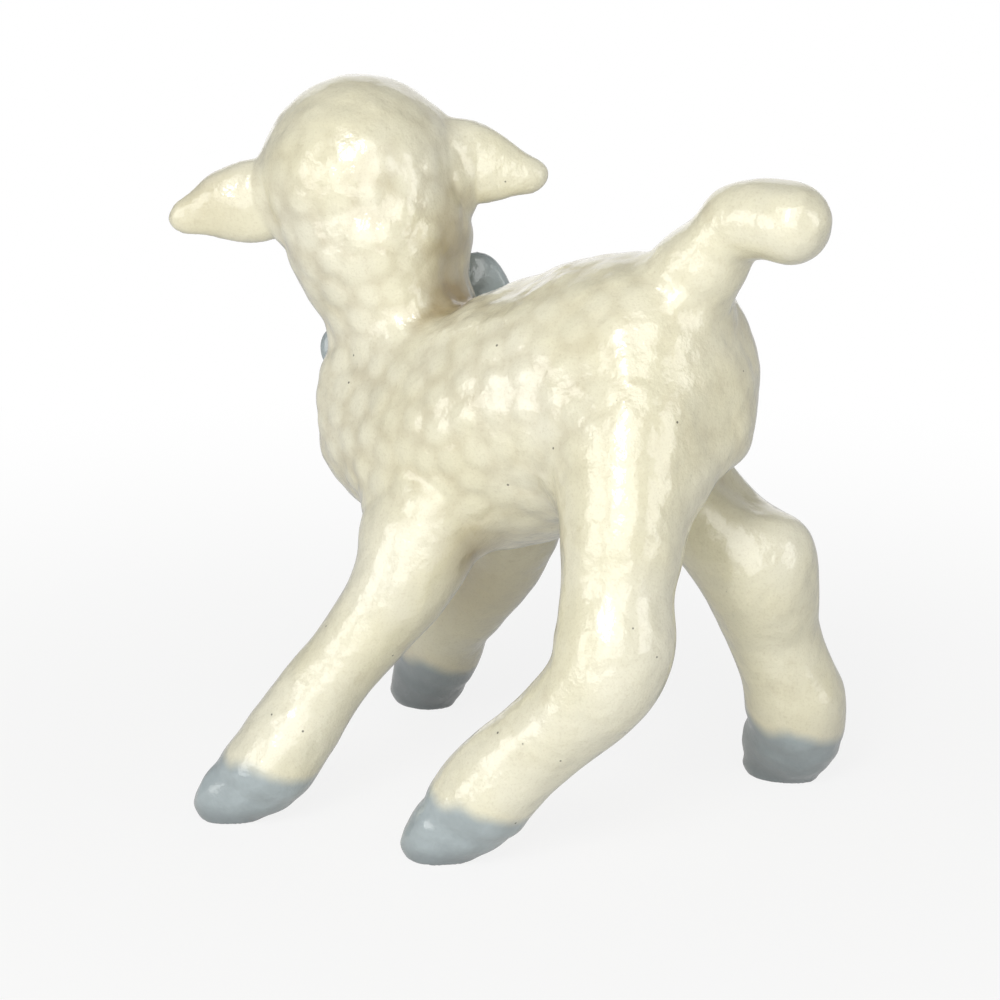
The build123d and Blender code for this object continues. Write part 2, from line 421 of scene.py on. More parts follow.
# Where thumbs pad the clay out or press it in: place, width and height of each
THUMBS_MM = (
    ((-36.5, -5.5, 81.5), 7.5, 2.8),
    ((-19.0, -17.0, 58.0), 7.0, 1.6),
    ((5.0, -5.0, 101.0), 9.0, -1.8),
    ((39.0, 0.0, 117.0), 7.0, -2.4),
    ((65.0, 0.0, 117.0), 7.0, 0.7),
    ((43.5, -8.0, 70.0), 8.0, 3.0),
    ((47.0, 2.5, 75.5), 7.5, 2.8),
    ((38.0, -20.0, 64.0), 8.0, 2.0),
    ((38.0, 21.0, 65.5), 7.0, -3.0),
    ((42.0, 22.0, 62.0), 5.0, -1.6),
    ((42.0, 30.0, 62.0), 7.0, -1.6),
    ((-12.7, 1.0, 103.0), 8.0, -1.2),
    ((47.5, 26.0, 53.0), 6.5, 1.8),
    ((-18.7, 9.7, 127.0), 6.0, 1.0),
    ((-50.5, -12.6, 118.0), 6.0, 0.9),
    ((-58.5, -16.5, 116.5), 5.0, 1.2),
    ((-40.0, -13.0, 106.0), 8.0, 0.8),
)
SHOULDER_MM = (-24.0, -13.0, 88.0)
SHOULDER_WIDTH_MM = 13.0

# Rounds of sponging at the tail's tip, the haunch, the shoulder and the nape
TIP_ROUNDS = 25
HAUNCH_ROUNDS = 500
SHOULDER_ROUNDS = 400
NAPE_ROUNDS = 260
NAPE_DEEPENING = 0.9

# The hand-made unevenness: size and height of its coarse and fine lumps
COARSE_LUMPS_MM = (9.0, 0.32)
FINE_LUMPS_MM = (4.0, 0.12)

# Where the glaze collected thickest, with painted shade in the crease behind the neck and the
# joins under the belly, and painted shade alone on the left ear, the far fore leg and the two far
# hooves: place, width and depth of each spot
POOLS_AND_SHADE_MM = (
    ((-13.0, 2.0, 113.0), 5.0, 0.5),
    ((-12.0, 1.5, 106.0), 6.5, 0.85),
    ((-12.0, 0.5, 99.0), 6.5, 1.0),
    ((-9.0, 7.0, 98.0), 6.0, 1.0),
    ((2.0, -15.0, 52.0), 6.0, 0.8),
    ((25.0, -22.0, 61.0), 5.0, 0.5),
    ((33.0, -6.0, 62.0), 8.0, 0.5),
    ((-24.0, 20.0, 40.0), 16.0, 0.75),
    ((-58.0, -17.0, 114.0), 9.0, 0.3),
    ((-45.7, 38.0, 4.0), 15.0, 1.0),
    ((38.8, 38.7, 4.0), 13.0, 0.9),
)


class LAMB_OT_clay(bpy.types.Operator):
    """Join copies of the casting's pieces and sponge slip into the joins"""

    bl_idname = "lamb.clay"
    bl_label = "Join the Clay"

    def execute(self, context):
        form = context.scene.lamb_form
        joined = bmesh.new()
        for node in SKIN_NODES:
            shape = merged_copy(node)
            spare = bpy.data.meshes.new("spare")
            shape.to_mesh(spare)
            shape.free()
            joined.from_mesh(spare)
            bpy.data.meshes.remove(spare)
        low, high = VENT_PLUG_MM
        middle = Vector((*VENT_PLACE_MM, (low + high) / 2)) * MM
        bmesh.ops.create_cone(
            joined, cap_ends=True, segments=24, radius1=2.2 * MM, radius2=2.2 * MM,
            depth=(high - low) * MM, matrix=Matrix.Translation(middle),
        )
        mesh = bpy.data.meshes.new(CLAY)
        joined.to_mesh(mesh)
        joined.free()
        clay = new_object(CLAY, mesh)
        remesh = clay.modifiers.new("Slip", "REMESH")
        remesh.mode = "VOXEL"
        remesh.voxel_size = form.voxel
        remesh.use_smooth_shade = True
        fused = applied(clay)
        clay.modifiers.clear()
        clay.data = fused
        fused.name = CLAY
        bpy.data.meshes.remove(mesh)
        outer_shell(fused)
        self.sponge(fused, form)
        return {"FINISHED"}

    def sponge(self, mesh, form):
        """Fills the joins, only ever adding clay, then softens the whole skin a little."""
        places = points_of(mesh)
        names = list(JOIN_WIDTH_MM)
        gaps = np.stack(
            [distances(surface_tree(name), places, REACH) for name in names], axis=1)
        for column, name in enumerate(names):
            hoof = name.replace("_leg", "_hoof")
            if hoof in HOOVES:
                toe = distances(surface_tree(hoof), places, REACH)
                gaps[:, column] = np.minimum(gaps[:, column], toe)
            store(mesh, "gap_" + name, gaps[:, column])
        order = np.argsort(gaps, axis=1)
        rows = np.arange(len(places))
        widths = np.array([JOIN_WIDTH_MM[name] * MM for name in names])
        width = np.minimum(widths[order[:, 0]], widths[order[:, 1]])
        second = gaps[rows, order[:, 1]]
        weight = eased(1.0 - second / width)
        pairs = edges_of(mesh)
        everywhere = np.ones(len(places))
        calm = sponged(places, pairs, everywhere, 3)
        set_points(mesh, calm)
        normals = normals_of(mesh)
        filled = sponged(calm, pairs, weight, form.join_rounds)
        rise = np.sum((filled - calm) * normals, axis=1)
        keep = eased(rise, 0.0, 0.25 * MM)[:, None]
        mended = calm + (filled - calm) * keep
        mended = sponged(mended, pairs, np.maximum(weight, 0.15), 8)
        off_torso = gaps[:, names.index(TORSO)]
        tip = (gaps[:, names.index("tail")] < 1 * MM) * eased(off_torso, 9 * MM, 14 * MM)
        mended = sponged(mended, pairs, tip, TIP_ROUNDS)
        thigh = np.maximum(gaps[:, names.index("hind_left_leg")], off_torso)
        haunch = eased(1.0 - thigh / (20 * MM)) * eased(mended[:, 2], 54 * MM, 66 * MM)
        mended = sponged(mended, pairs, haunch, HAUNCH_ROUNDS)
        from_shoulder = np.sum((mended / MM - np.array(SHOULDER_MM)) ** 2, axis=1)
        shoulder = np.exp(-from_shoulder / SHOULDER_WIDTH_MM**2)
        mended = sponged(mended, pairs, shoulder * (shoulder > 0.02), SHOULDER_ROUNDS)
        set_points(mesh, mended)
        normals = normals_of(mesh)
        for place, width, press in THUMBS_MM:
            away = np.sum((mended / MM - np.array(place)) ** 2, axis=1) / width**2
            mended = mended + normals * (press * MM * np.exp(-away))[:, None]
        set_points(mesh, mended)
        normals = normals_of(mesh)
        flat = sponged(mended, pairs, everywhere, NAPE_ROUNDS)
        hollow = np.sum((flat - mended) * normals, axis=1)
        nape = eased(mended[:, 2], 84 * MM, 92 * MM) * (off_torso < 1 * MM)
        nape *= eased(gaps[:, names.index("head")], 3 * MM, 7 * MM)
        nape *= eased(gaps[:, names.index("tail")], 6 * MM, 12 * MM)
        (coarse, high), (fine, low) = COARSE_LUMPS_MM, FINE_LUMPS_MM
        uneven = lumps(mended, coarse * MM, 3.0) * high + lumps(mended, fine * MM, 8.0) * low
        push = uneven * MM - NAPE_DEEPENING * np.clip(hollow, 0, 3 * MM) * nape
        push = sponged(push, pairs, everywhere, 4)
        set_points(mesh, mended + normals * push[:, None])


# Ears, face and vent


def groove(offset, width):
    """A soft-sided groove: 1 along its middle and 0 away from it."""
    return np.exp(-((offset / width) ** 2))


EAR_DISH_MM = 1.9
EAR_TAPER = (0.24, 0.25)
EAR_ROOTS_MM = {"left_ear": (-1, -1.0, 18.6, 0.0), "right_ear": (1, -1.6, 15.8, 25.0)}


class LAMB_OT_ears(bpy.types.Operator):
    """Hollow the front of each ear"""

    bl_idname = "lamb.ears"
    bl_label = "Hollow the Ears"

    def execute(self, context):
        mesh = working_mesh()
        places = points_of(mesh)
        normals = normals_of(mesh)
        forward, side, up = in_head(places)
        facing = normals @ turned(HEAD_TURNS)[:, 0]
        hollow = np.zeros(len(places))
        blush = np.zeros(len(places))
        taper = np.zeros((len(places), 3))
        for name, (hand, rise, length, droop) in EAR_ROOTS_MM.items():
            out = (side * hand - SKULL_RADIUS_MM) / length
            middle = rise - out * length * math.sin(math.radians(droop))
            half = 6.4 - 3.0 * np.clip(out, 0, 1)
            across = (up - middle) / half
            around = ((out - 0.42) / 0.62) ** 2 + across**2
            ear = stored(mesh, "gap_" + name) < 0.7 * MM
            tip = ear * np.clip((out - 0.15) / 0.85, 0.0, 1.2) ** 2
            taper[:, 2] -= EAR_TAPER[0] * tip * (up - middle)
            taper[:, 0] += EAR_TAPER[1] * tip * (forward + 1.0)
            own = ear * eased(-facing, 0.0, 0.45)
            dish = own * (1.0 - eased(around, 0.1, 0.95))
            hollow += dish
            blush = np.maximum(blush, own * (1.0 - eased(around, 0.15, 0.8)))
        store(mesh, "blush", sponged(blush, edges_of(mesh), np.ones(len(places)), 3))
        taper = taper @ turned(HEAD_TURNS).T
        set_points(mesh, places + taper * MM - normals * (EAR_DISH_MM * MM * hollow)[:, None])
        return {"FINISHED"}


EYE_MM = (13.2, 12.9, 4.2)
MUZZLE_DROP = 0.32


class LAMB_OT_face(bpy.types.Operator):
    """Model the lamb's eyes, nose and mouth, and mark where they are painted"""

    bl_idname = "lamb.face"
    bl_label = "Model the Face"

    def execute(self, context):
        mesh = working_mesh()
        places = points_of(mesh)
        normals = normals_of(mesh)
        forward, side, up = in_head(places)
        on_head = stored(mesh, "gap_head") < 1.5 * MM
        push = np.zeros(len(places))
        eye_f, eye_s, eye_u = EYE_MM
        apart = np.abs(side) - eye_s
        along = (eye_s * (forward - eye_f) - eye_f * apart) / math.hypot(eye_f, eye_s)
        height = up - eye_u - 0.12 * along
        on_face = on_head * (forward > 4.0)
        reach = np.hypot(along / 3.3, height / 2.5)
        socket = np.hypot(along / 5.6, (height + 0.3) / 4.6)
        push -= 1.0 * (1.0 - eased(socket, 0.35, 1.0)) * on_face
        push += 1.5 * (1.0 - eased(reach, 0.3, 1.15)) * on_face
        lid = groove(height - 2.9 + 0.10 * along**2, 0.75)
        lid *= 1.0 - eased(np.abs(along), 3.0, 4.6)
        push += 0.55 * lid * on_face
        level = up + MUZZLE_DROP * forward
        mouth_line = -3.0 + 0.16 * (30.0 - forward)
        mouth = groove(level - mouth_line, 0.7) * eased(forward, 19.5, 23.0)
        cleft = groove(side, 0.6) * eased(forward, 28.0, 30.0)
        cleft *= eased(level, -3.4, -2.6) * (1.0 - eased(level, 0.6, 1.6))
        nose_across = np.abs(side) / np.maximum(1.2, 3.3 + 0.45 * (level - 2.0))
        nose = (1.0 - eased(nose_across, 0.7, 1.1)) * eased(forward, 26.5, 28.5)
        nose *= eased(level, 0.2, 1.6) * (1.0 - eased(level, 5.0, 6.4))
        nostril = groove(np.abs(side) - 2.0, 0.7) * groove(level - 2.7, 0.7)
        nostril *= eased(forward, 27.0, 29.0)
        push += 0.35 * nose * on_head - 0.8 * np.maximum(mouth, cleft) * on_head
        push -= 1.0 * nostril * on_head
        brow = groove(np.hypot(along / 5.0, (height - 5.2) / 2.0), 0.8) * on_face
        push += 0.35 * brow
        iris = np.hypot(along / 2.5, height / 2.2)
        store(mesh, "eye", on_face * (1.0 - eased(iris, 0.8, 1.12)))
        lash = groove(height - 2.45 + 0.10 * along**2, 0.45)
        lash *= (1.0 - eased(np.abs(along), 3.2, 4.2)) * on_face
        store(mesh, "line", np.maximum(lash, np.maximum(mouth, cleft) * on_head))
        store(mesh, "nose", nose * on_head)
        set_points(mesh, places + normals * (push * MM)[:, None])
        return {"FINISHED"}


class LAMB_OT_vent(bpy.types.Operator):
    """Open the casting's vent under the belly"""

    bl_idname = "lamb.vent"
    bl_label = "Open the Vent"

    def execute(self, context):
        mesh = working_mesh()
        places = points_of(mesh)
        x, y = VENT_PLACE_MM
        off = np.hypot(places[:, 0] / MM - x, places[:, 1] / MM - y)
        under = (places[:, 2] / MM < VENT_PLUG_MM[1]) & (places[:, 2] / MM > 45.0)
        hole = (1.0 - eased(off, *VENT_RIM_MM)) * under
        places[:, 2] += VENT_DEPTH_MM * MM * hole
        # The vent's mark is painted near black in the glaze, a painted shade for the dark inside
        # of the hollow casting
        store(mesh, "vent", hole)
        set_points(mesh, places)
        return {"FINISHED"}


# The pebbled wool

PEBBLE_RADII = (0.36, 0.5)
PEBBLE_LIFTS = (0.6, 1.15)


def spread_centres(places, ready, spacing, seed):
    """Evenly scattered pebble centres on the points that are ready to carry wool."""
    draw = random.Random(seed)
    order = [int(index) for index in np.flatnonzero(ready)]
    draw.shuffle(order)
    cells = {}
    chosen = []
    near = [(i, j, k) for i in (-1, 0, 1) for j in (-1, 0, 1) for k in (-1, 0, 1)]
    least = 0.8 * spacing
    for index in order:
        place = places[index]
        cell = tuple(int(math.floor(value / least)) for value in place)
        clash = False
        for i, j, k in near:
            for other in cells.get((cell[0] + i, cell[1] + j, cell[2] + k), ()):
                if np.sum((places[other] - place) ** 2) < least * least:
                    clash = True
        if not clash:
            cells.setdefault(cell, []).append(index)
            chosen.append(index)
    return places[chosen]


def centre_tree(centres):
    tree = KDTree(len(centres))
    for index, centre in enumerate(centres):
        tree.insert(centre, index)
    tree.balance()
    return tree


def settle(places, ready, centres, rounds):
    """Moves each centre to the middle of the skin that is nearest to it."""
    woolly = places[ready]
    for _ in range(rounds):
        tree = centre_tree(centres)
        owner = np.array([tree.find(place)[1] for place in woolly])
        count = np.bincount(owner, minlength=len(centres))
        mean = np.stack(
            [np.bincount(owner, weights=woolly[:, axis], minlength=len(centres))
             for axis in range(3)], axis=1)
        centres = np.where(count[:, None] > 0, mean / np.maximum(count, 1)[:, None], centres)
    return centres


def in_head(places):
    """Millimetres in the head's own axes: forward, to the lamb's right, up."""
    local = local_places(places, HEAD_MIDDLE_MM, HEAD_TURNS)
    return -local[:, 0], local[:, 1], local[:, 2]


class LAMB_OT_wool(bpy.types.Operator):
    """Press the shallow pebbles of the wool into the skin"""

    bl_idname = "lamb.wool"
    bl_label = "Press the Wool"

    def execute(self, context):
        form = context.scene.lamb_form
        mesh = working_mesh()
        places = points_of(mesh)
        normals = normals_of(mesh)
        wool = self.mask(mesh, places, normals)
        store(mesh, "wool", wool)
        ready = wool > 0.02
        centres = spread_centres(places, ready, form.pebble, form.seed)
        centres = settle(places, ready, centres, 2)
        tree = centre_tree(centres)
        draw = random.Random(form.seed + 1)
        radius = np.array([draw.uniform(*PEBBLE_RADII) for _ in centres]) * form.pebble
        lift = np.array([draw.uniform(*PEBBLE_LIFTS) for _ in centres])
        cover = np.zeros(len(places))
        height = np.zeros(len(places))
        woolly = np.flatnonzero(ready)
        near = [tree.find_n(places[index], 3) for index in woolly]
        for rank in range(3):
            which = np.array([found[rank][1] for found in near])
            reach = np.array([found[rank][2] for found in near]) / radius[which]
            disc = 1.0 - eased(reach, 0.5, 1.25)
            crown = 0.3 * np.clip(1.0 - reach**2, 0.0, 1.0)
            cover[woolly] = np.maximum(cover[woolly], disc)
            height[woolly] = np.maximum(height[woolly], disc * lift[which] + crown)
        pairs = edges_of(mesh)
        relief = form.relief * wool * (height - 0.8) * ready
        relief = sponged(relief, pairs, np.ones(len(places)), 3)
        valley = (1.0 - cover) * wool * ready
        store(mesh, "valley", sponged(valley, pairs, np.ones(len(places)), 2))
        set_points(mesh, places + normals * relief[:, None])
        return {"FINISHED"}

    def mask(self, mesh, places, normals):
        """How strongly each point is pebbled."""
        gap = {name: stored(mesh, "gap_" + name) for name in JOIN_WIDTH_MM}
        x = places[:, 0] / MM
        wool = np.ones(len(places))
        wool *= 1.0 - 0.45 * eased(x, 8.0, 38.0)
        wool *= 1.0 - 0.5 * eased(-normals[:, 2], 0.3, 0.9)
        off_torso = gap[TORSO]
        fades = {
            "tail": (0.0, 7.0, 0.4), "front_left_leg": (0.0, 9.0, 0.0),
            "front_right_leg": (0.0, 8.0, 0.0), "hind_left_leg": (2.0, 12.0, 0.0),
            "hind_right_leg": (0.0, 8.0, 0.0), "left_ear": (0.0, 2.5, 0.0),
            "right_ear": (0.0, 2.5, 0.0),
        }
        for name, (low, high, rest) in fades.items():
            own = gap[name] < np.minimum(off_torso, gap["head"]) + 0.4 * MM
            away = np.minimum(off_torso, gap["head"]) / MM
            share = 1.0 - (1.0 - rest) * eased(away, low, high)
            wool = np.where(own, wool * share, wool)
        forward, _, up = in_head(places)
        face = eased(forward - 0.25 * np.maximum(up, 0), 3.0, 8.0) * (gap["head"] < 3 * MM)
        wool *= 1.0 - face
        crown = (gap["head"] < 1.2 * MM) * eased(up, -6.0, 9.0)
        wool *= 1.0 - 0.5 * crown
        wool *= 0.75 + 0.35 * lumps(places, 17 * MM, 5.0)
        return sponged(np.clip(wool, 0.0, 1.0), edges_of(mesh), np.ones(len(places)), 12)


# Hooves


GLAZE_LINE_SLOPE = 27.0
FEET_MM = {
    "front_left_hoof": (-37.21, -39.49),
    "front_right_hoof": (-45.71, 38.01),
    "hind_left_hoof": (8.79, -34.99),
    "hind_right_hoof": (38.79, 38.71),
}
HOOF_HEIGHT_MM = 14.0
SOLE_RUB_MM = 0.35
CORONET_MM = 0.38
CLEFT_MM = 0.6
TOE_SETBACK = {
    "front_left_hoof": 0.9,
    "front_right_hoof": 0.3,
    "hind_left_hoof": 0.7,
    "hind_right_hoof": -0.7,
}
HEEL_REACH_MM = {
    "front_left_hoof": 0.0,
    "front_right_hoof": 0.3,
    "hind_left_hoof": 0.6,
    "hind_right_hoof": 1.2,
}


def above_glaze_line(places, hoof):
    """How far each place is over a hoof's glaze line."""
    x, y = FEET_MM[hoof]
    slope = math.radians(GLAZE_LINE_SLOPE)
    line_normal = np.array((math.sin(slope), 0.0, math.cos(slope)))
    return (places - np.array((x, y, HOOF_HEIGHT_MM)) * MM) @ line_normal


class LAMB_OT_hooves(bpy.types.Operator):
    """Carve the coronets and mark where the grey-blue paint goes"""

    bl_idname = "lamb.hooves"
    bl_label = "Carve the Hooves"

    def execute(self, context):
        mesh = working_mesh()
        places = points_of(mesh)
        normals = normals_of(mesh)
        paint = np.zeros(len(places))
        coronet = np.zeros(len(places))
        cleft = np.zeros(len(places))
        wedge = np.zeros(len(places))
        for hoof in HOOVES:
            own = stored(mesh, "gap_" + hoof.replace("_hoof", "_leg")) < 0.5 * MM
            line = above_glaze_line(places, hoof) / MM
            ahead = FEET_MM[hoof][0] - places[:, 0] / MM
            brushed = line - 3.0 * eased(-ahead, 2.0, 8.5) - 2.4 * eased(ahead, 3.0, 9.5)
            soft = np.clip(0.5 - brushed / 5.6, 0.0, 1.0)
            paint = np.where(own, np.maximum(paint, soft), paint)
            coronet += own * groove(line + 3.2, 1.9) * (1.0 + 1.2 * eased(ahead, 2.0, 7.0))
            high = places[:, 2] / MM
            setback = 1.8 * eased(high, 2.5, 7.5) * (1.0 - eased(high, 9.5, 17.0))
            toe = 1.2 * (1.0 - eased(high, 1.0, 4.5))
            middle = groove(places[:, 1] / MM - FEET_MM[hoof][1], 0.9)
            cleft += own * middle * eased(ahead, 5.0, 8.0) * (1.0 - eased(high, 7.0, 10.0))
            wedge += own * eased(ahead, 1.0, 7.5) * (setback * TOE_SETBACK[hoof] - toe)
            heel = eased(-ahead, 1.0, 6.0) * (1.0 - eased(high, 5.0, 9.0))
            wedge += own * heel * HEEL_REACH_MM[hoof]
        store(mesh, "paint", paint)
        sole = eased(places[:, 2] / MM, 0.2, 1.2)
        carved = CORONET_MM * coronet + CLEFT_MM * cleft
        places = places - normals * (MM * carved * sole)[:, None]
        places[:, 0] += wedge * MM
        low = 1.0 - eased(places[:, 2], 0.2 * MM, 1.6 * MM)
        places[:, 2] = np.maximum(places[:, 2] - SOLE_RUB_MM * MM * low, 0.0)
        set_points(mesh, places)
        return {"FINISHED"}


# Pieces


LIP_DEPTH = 1.4 * MM
FLAT_ROUNDS = 60
WIDE_ROUNDS = 340
SETTLE_ROUNDS = 12


def settled(owner, pairs, rounds):
    """Owners of faces, each changed to what most of its neighbours say."""
    count = len(owner)
    for _ in range(rounds):
        votes = np.zeros((count, len(SKIN_NODES)), np.int16)
        np.add.at(votes, (pairs[:, 0], owner[pairs[:, 1]]), 1)
        np.add.at(votes, (pairs[:, 1], owner[pairs[:, 0]]), 1)
        votes[np.arange(count), owner] += 1
        owner = np.argmax(votes, axis=1)
    return owner


def face_pairs(mesh):
    """The pairs of faces that share an edge."""
    loops = np.empty(len(mesh.loops), np.int32)
    mesh.loops.foreach_get("edge_index", loops)
    start = np.empty(len(mesh.polygons), np.int32)
    mesh.polygons.foreach_get("loop_start", start)
    size = np.diff(np.append(start, len(loops)))
    face = np.repeat(np.arange(len(start)), size)
    order = np.argsort(loops, kind="stable")
    edge, face = loops[order], face[order]
    same = np.flatnonzero(edge[:-1] == edge[1:])
    return np.stack((face[same], face[same + 1]), axis=1)


class LAMB_OT_pieces(bpy.types.Operator):
    """Part the finished skin into the casting's pieces and give them their glaze"""

    bl_idname = "lamb.pieces"
    bl_label = "Part the Pieces"

    def execute(self, context):
        clay = bpy.data.objects[CLAY]
        mesh = clay.data
        normals = normals_of(mesh)
        for axis, name in enumerate(("smooth_x", "smooth_y", "smooth_z")):
            store(mesh, name, normals[:, axis])
        places = points_of(mesh)
        flat = sponged(places, edges_of(mesh), np.ones(len(places)), FLAT_ROUNDS)
        hollow = np.sum((flat - places) * normals, axis=1) / MM
        beside = np.full(len(places), 4 * MM)
        for name in BOW_NODES:
            beside = np.minimum(beside, distances(surface_tree(name), places, 4 * MM))
        wide = sponged(flat, edges_of(mesh), np.ones(len(places)), WIDE_ROUNDS)
        broad = np.sum((wide - places) * normals, axis=1) / MM
        # Painted shade: points are darkened by how hollow they lie, broad hollows most, and beside
        # the bow, where shade falls, as well as where glaze collects; the listed spots add more
        pool = np.maximum(0.5 * eased(hollow, 0.0, 1.0) + 0.8 * eased(broad, 0.2, 2.2),
                          1.0 - eased(beside, 0.0, 3 * MM))
        for place, width, depth in POOLS_AND_SHADE_MM:
            away = np.sum((places / MM - np.array(place)) ** 2, axis=1) / width**2
            pool = np.maximum(pool, depth * np.exp(-away))
        # Painted shade: darker over the last few millimetres above the floor
        floor_shade = 0.5 * (1.0 - eased(places[:, 2] / MM, 0.2, 5.0))
        pool = np.maximum(pool, floor_shade)
        store(mesh, "pool", sponged(pool, edges_of(mesh), np.ones(len(places)), 3))
        # Painted highlight: ridges are marked to be lightened, along with the glaze thinning over
        # them
        store(mesh, "ridge", eased(-hollow, 0.25, 1.6))
        owner = self.owners(mesh)
        for index, node in enumerate(SKIN_NODES):
            self.part(mesh, owner == index, node)
        bpy.data.objects.remove(clay)
        bpy.data.meshes.remove(mesh)
        return {"FINISHED"}

    def owners(self, mesh):
        """Which casting each face belongs to."""
        faces = len(mesh.polygons)
        middles = np.empty(faces * 3, np.float32)
        mesh.polygons.foreach_get("center", middles)
        middles = middles.reshape(-1, 3).astype(float)
        gaps = np.stack(
            [distances(surface_tree(name), middles, REACH) for name in JOIN_WIDTH_MM], axis=1)
        owner = np.argmin(gaps, axis=1)
        names = list(JOIN_WIDTH_MM)
        for hoof in HOOVES:
            leg = names.index(hoof.replace("_hoof", "_leg"))
            low = above_glaze_line(middles, hoof) < 0
            toe = distances(surface_tree(hoof), middles, REACH)
            close = toe < np.min(gaps, axis=1)
            here = (owner == leg) & low | close & low
            owner[here] = SKIN_NODES.index(hoof)
            owner[close & ~low] = leg
        return settled(owner, face_pairs(mesh), SETTLE_ROUNDS)

    def part(self, mesh, mine, node):
        """One piece: its own faces of the skin, closed where it met its neighbours."""
        shape = bmesh.new()
        shape.from_mesh(mesh)
        shape.faces.ensure_lookup_table()
        others = [face for face, own in zip(shape.faces, mine) if not own]
        bmesh.ops.delete(shape, geom=others, context="FACES")
        rim = [edge for edge in shape.edges if edge.is_boundary]
        inward = {point: point.normal.copy() for edge in rim for point in edge.verts}
        lip = bmesh.ops.extrude_edge_only(shape, edges=rim)["geom"]
        tree = centre_tree([point.co for point in inward])
        ways = list(inward.values())
        for point in (item for item in lip if isinstance(item, bmesh.types.BMVert)):
            point.co -= ways[tree.find(point.co)[1]] * LIP_DEPTH
        rim = [edge for edge in shape.edges if edge.is_boundary]
        bmesh.ops.holes_fill(shape, edges=rim, sides=0)
        bmesh.ops.triangulate(shape, faces=[face for face in shape.faces if len(face.verts) > 4])
        piece_mesh = bpy.data.meshes.new(node + "_skin")
        shape.to_mesh(piece_mesh)
        shape.free()
        piece_mesh.shade_smooth()
        smooth = np.stack([stored(piece_mesh, "smooth_" + axis) for axis in "xyz"], axis=1)
        piece_mesh.normals_split_custom_set_from_vertices(smooth.tolist())
        for layer in [layer.name for layer in piece_mesh.attributes]:
            if layer.startswith(("gap_", "smooth_")) or layer == "wool":
                piece_mesh.attributes.remove(piece_mesh.attributes[layer])
        piece = new_object(node + "_glazed", piece_mesh)
        blue = node in HOOVES
        piece.data.materials.append(glaze("Grey-blue glaze" if blue else "Cream glaze"))
        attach(piece, "root")
        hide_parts(node)


# Bow

BOW_CELL = 0.4 * MM
PLEAT_MM = 0.75
LOOP_DISH_MM = 1.0
CREASE_MM = 0.35
NOTCH_MM = 3.4
KNOT_FOLD_MM = 0.4


def remade(node, cell):
    """A fine even copy of a CAD node's skin, with its points sponged."""
    shape = merged_copy(node)
    mesh = bpy.data.meshes.new(node + "_skin")
    shape.to_mesh(mesh)
    shape.free()
    piece = new_object(node + "_glazed", mesh)
    remesh = piece.modifiers.new("Grain", "REMESH")
    remesh.mode = "VOXEL"
    remesh.voxel_size = cell
    remesh.use_smooth_shade = True
    fine = applied(piece)
    piece.modifiers.clear()
    piece.data = fine
    bpy.data.meshes.remove(mesh)
    fine.name = node + "_skin"
    outer_shell(fine)
    places = points_of(fine)
    set_points(fine, sponged(places, edges_of(fine), np.ones(len(places)), 6))
    return piece


class LAMB_OT_bow(bpy.types.Operator):
    """Fold and crease the ribbon bow at the throat"""

    bl_idname = "lamb.bow"
    bl_label = "Fold the Bow"

    def execute(self, context):
        for node in BOW_NODES:
            piece = remade(node, BOW_CELL)
            mesh = piece.data
            places = points_of(mesh)
            normals = normals_of(mesh)
            if node.endswith("_loop"):
                places = self.loop(places, normals)
            elif node.endswith("_tail"):
                places = self.tail(places, normals, -1 if "left" in node else 1)
            else:
                places = self.knot(places, normals)
            set_points(mesh, places)
            count = len(places)
            flat = sponged(places, edges_of(mesh), np.ones(count), 25)
            hollow = np.sum((flat - places) * normals, axis=1) / MM
            # Painted shade in the ribbon's hollows and painted highlight on its ridges
            store(mesh, "pool", eased(hollow, 0.0, 0.5))
            store(mesh, "ridge", eased(-hollow, 0.15, 0.8))
            store(mesh, "paint", np.ones(count))
            mesh.shade_smooth()
            mesh.materials.append(glaze("Grey-blue glaze"))
            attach(piece, "root")
            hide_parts(node)
        return {"FINISHED"}

    def loop(self, places, normals):
        """Pleats that fan from the knot, and a dished middle in front."""
        local = local_places(places, BOW_MIDDLE_MM, BOW_TURNS)
        out = np.abs(local[:, 1]) / BOW_HALF_SPAN_MM
        half = BOW_LOOP_HALF_HEIGHT_MM * (0.42 + 0.6 * np.clip(out, 0, 1))
        across = local[:, 2] / half
        pleats = sum(groove(across - middle, 0.16) for middle in (-0.5, 0.0, 0.5))
        push = -PLEAT_MM * pleats * eased(out, 0.12, 0.25) * (1.0 - eased(out, 0.35, 0.8))
        front = eased(-(normals @ turned(BOW_TURNS)[:, 0]), 0.2, 0.7)
        around = ((out - 0.64) / 0.27) ** 2 + (across / 0.78) ** 2
        push -= LOOP_DISH_MM * (1.0 - eased(around, 0.2, 1.0)) * front
        return places + normals * (push * MM)[:, None]

    def tail(self, places, normals, hand):
        """A crease down the middle and a notched end."""
        turns = BOW_TAIL_TURNS + ((hand * BOW_TAIL_SPLAY, "X"),)
        local = local_places(places, BOW_MIDDLE_MM, turns)
        down, across = -local[:, 2], np.abs(local[:, 1]) / 3.9
        crease = groove(across, 0.22) * eased(down, 2.0, 6.0) * (1.0 - eased(down, 12.0, 15.0))
        lift = NOTCH_MM * np.clip(1.0 - across, 0, 1) * eased(down, 8.0, 16.5)
        upward = np.array(turned(turns))[:, 2]
        creased = places - normals * (CREASE_MM * MM * crease)[:, None]
        return creased + upward * (lift * MM)[:, None]

    def knot(self, places, normals):
        """Two shallow folds over the knot."""
        local = local_places(places, BOW_MIDDLE_MM, BOW_TURNS)
        folds = groove(local[:, 1] - 1.3, 0.5) + groove(local[:, 1] + 1.4, 0.5)
        return places - normals * (KNOT_FOLD_MM * MM * folds)[:, None]


# Glaze

# What the operators mark on the skin for the glaze to follow, among them painted shade in hollows
# and painted highlight on ridges
MARKS = ("valley", "pool", "ridge", "paint", "blush", "nose", "line", "eye", "vent")


